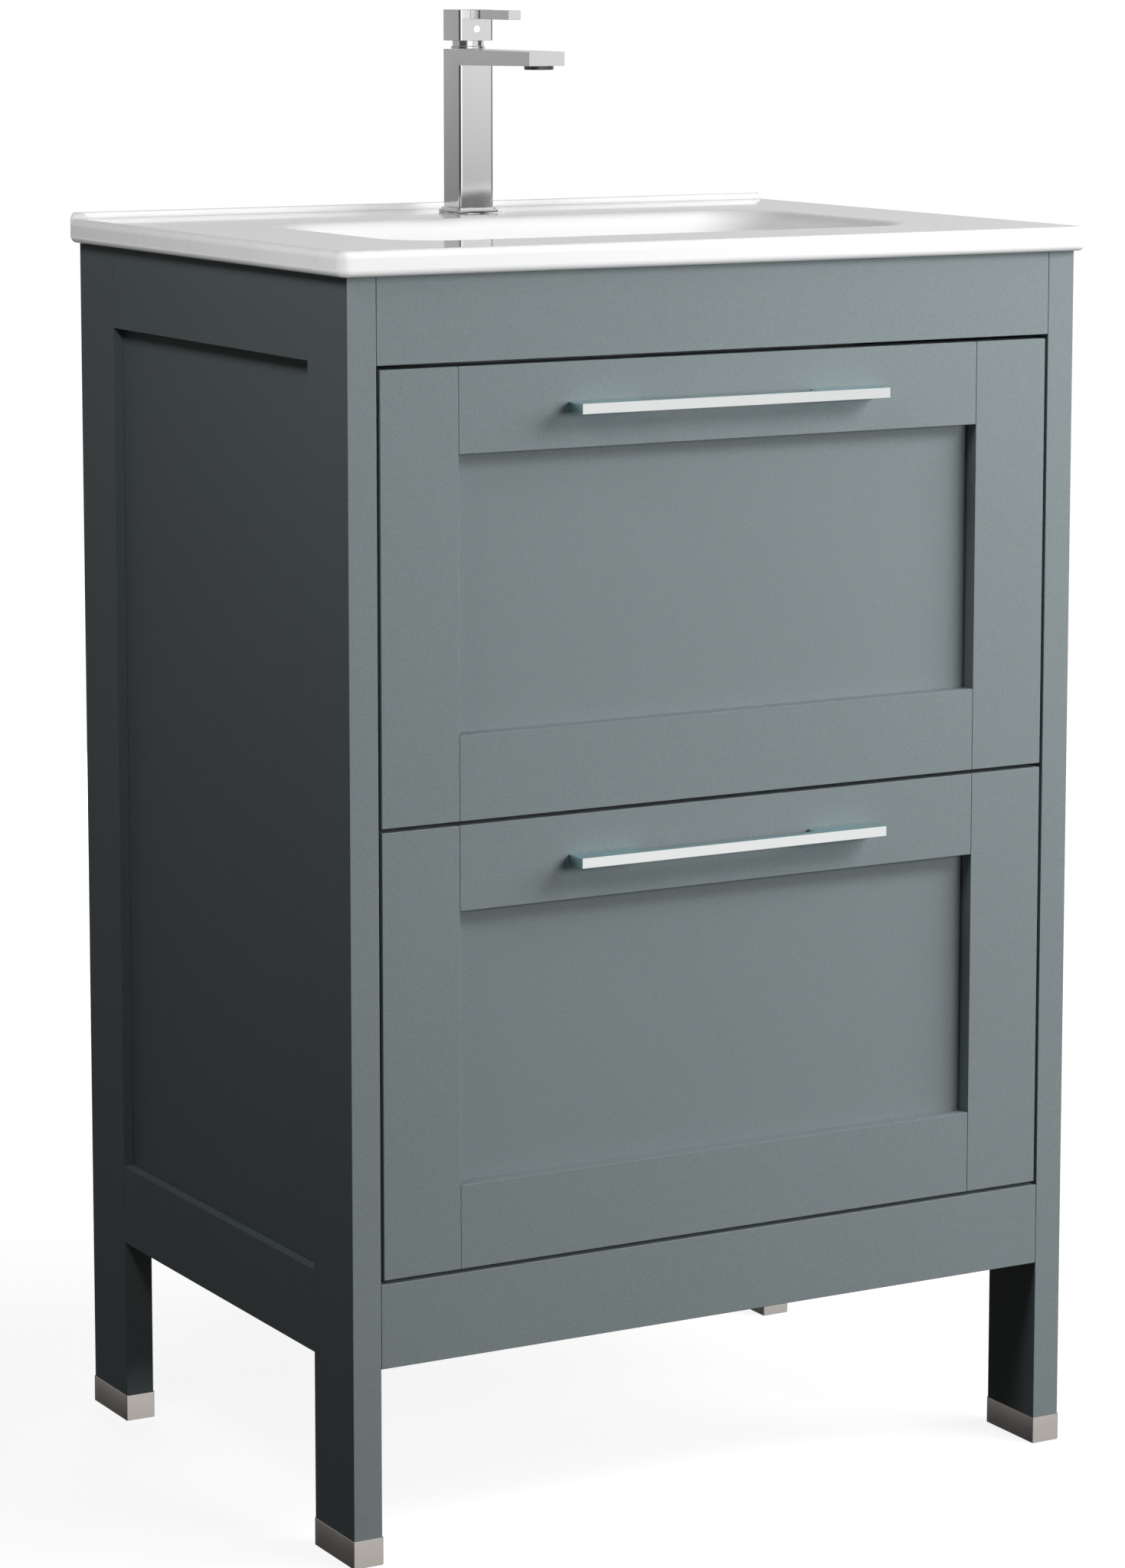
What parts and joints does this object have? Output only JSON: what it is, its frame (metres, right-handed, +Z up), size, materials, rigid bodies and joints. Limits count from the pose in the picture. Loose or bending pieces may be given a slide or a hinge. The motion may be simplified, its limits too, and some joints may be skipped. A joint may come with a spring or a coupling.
{
  "type": "bathroom vanity cabinet",
  "caption": "Painted bathroom vanity on capped legs, with inset shaker drawers on telescopic slides, a ceramic basin top, a drain with a push stopper and a square single-lever tap.",
  "frame": {"origin": "on the floor, under the middle of the whole object from the fronts of the pulls to the back edge of the top", "axes": "+Z up, the drawers and the lever point to -Y, +X to the right when seen from the front"},
  "size_m": [0.61, 0.468, 1.0697],
  "materials": {
    "cabinet_paint": "satin blue-grey lacquer on wood, with a very fine speckle",
    "birch_plywood": "clear-lacquered birch plywood",
    "white_glaze": "glossy white glaze with faint grey veins",
    "chrome": "soft-polished chrome",
    "satin_chrome": "bright satin chrome",
    "brushed_nickel": "brushed nickel",
    "zinc_steel": "bright zinc-plated sheet"
  },
  "bodies": {
    "cabinet": {"post_front_left": "cabinet_paint", "post_front_right": "cabinet_paint", "post_rear_left": "cabinet_paint", "post_rear_right": "cabinet_paint", "side_rail_top_left": "cabinet_paint", "side_rail_top_right": "cabinet_paint", "side_rail_bottom_left": "cabinet_paint", "side_rail_bottom_right": "cabinet_paint", "side_panel_left": "cabinet_paint", "side_panel_right": "cabinet_paint", "front_rail_top": "cabinet_paint", "front_rail_bottom": "cabinet_paint", "back_rail_top": "cabinet_paint", "back_rail_bottom": "cabinet_paint", "back_panel": "birch_plywood", "bottom_panel": "birch_plywood", "foot_cap_front_left": "brushed_nickel", "foot_cap_front_right": "brushed_nickel", "foot_cap_rear_left": "brushed_nickel", "foot_cap_rear_right": "brushed_nickel", "slide_outer_upper_left": "zinc_steel", "slide_outer_upper_right": "zinc_steel", "slide_outer_lower_left": "zinc_steel", "slide_outer_lower_right": "zinc_steel", "sink_top": "white_glaze", "drain_body": "chrome", "faucet_flange": "chrome", "faucet_body": "chrome", "faucet_aerator": "brushed_nickel"},
    "upper_drawer": {"upper_front_stile_left": "cabinet_paint", "upper_front_stile_right": "cabinet_paint", "upper_front_rail_top": "cabinet_paint", "upper_front_rail_bottom": "cabinet_paint", "upper_front_panel": "cabinet_paint", "upper_box_side_left": "birch_plywood", "upper_box_side_right": "birch_plywood", "upper_box_back": "birch_plywood", "upper_box_bottom": "birch_plywood", "upper_pull": "satin_chrome", "slide_inner_upper_left": "zinc_steel", "slide_inner_upper_right": "zinc_steel"},
    "upper_slide_middles": {"slide_middle_upper_left": "zinc_steel", "slide_middle_upper_right": "zinc_steel"},
    "lower_drawer": {"lower_front_stile_left": "cabinet_paint", "lower_front_stile_right": "cabinet_paint", "lower_front_rail_top": "cabinet_paint", "lower_front_rail_bottom": "cabinet_paint", "lower_front_panel": "cabinet_paint", "lower_box_side_left": "birch_plywood", "lower_box_side_right": "birch_plywood", "lower_box_back": "birch_plywood", "lower_box_bottom": "birch_plywood", "lower_pull": "satin_chrome", "slide_inner_lower_left": "zinc_steel", "slide_inner_lower_right": "zinc_steel"},
    "lower_slide_middles": {"slide_middle_lower_left": "zinc_steel", "slide_middle_lower_right": "zinc_steel"},
    "drain_stopper": {"drain_stopper": "chrome"},
    "faucet_carrier": {"faucet_neck": "chrome"},
    "faucet_handle": {"faucet_handle": "chrome"}
  },
  "joints": [
    {"name": "upper_drawer_slide", "type": "slide", "parent": "cabinet", "child": "upper_drawer", "axis": [0, -1, 0], "range_m": [0, 0.35]},
    {"name": "upper_middle_slide", "type": "slide", "parent": "cabinet", "child": "upper_slide_middles", "axis": [0, -1, 0], "range_m": [0, 0.175]},
    {"name": "lower_drawer_slide", "type": "slide", "parent": "cabinet", "child": "lower_drawer", "axis": [0, -1, 0], "range_m": [0, 0.35]},
    {"name": "lower_middle_slide", "type": "slide", "parent": "cabinet", "child": "lower_slide_middles", "axis": [0, -1, 0], "range_m": [0, 0.175]},
    {"name": "stopper_lift", "type": "slide", "parent": "cabinet", "child": "drain_stopper", "axis": [0, 0, 1], "range_m": [0, 0.008]},
    {"name": "faucet_turn", "type": "hinge", "parent": "cabinet", "child": "faucet_carrier", "pos_m": [0, 0.166, 1.043], "axis": [0, 0, 1], "range_deg": [-45, 45]},
    {"name": "faucet_lift", "type": "hinge", "parent": "faucet_carrier", "child": "faucet_handle", "pos_m": [0, 0.166, 1.043], "axis": [-1, 0, 0], "range_deg": [0, 18]}
  ],
  "couplings": [
    {"joint": "upper_middle_slide", "follows": "upper_drawer_slide", "ratio": 0.5},
    {"joint": "lower_middle_slide", "follows": "lower_drawer_slide", "ratio": 0.5}
  ]
}
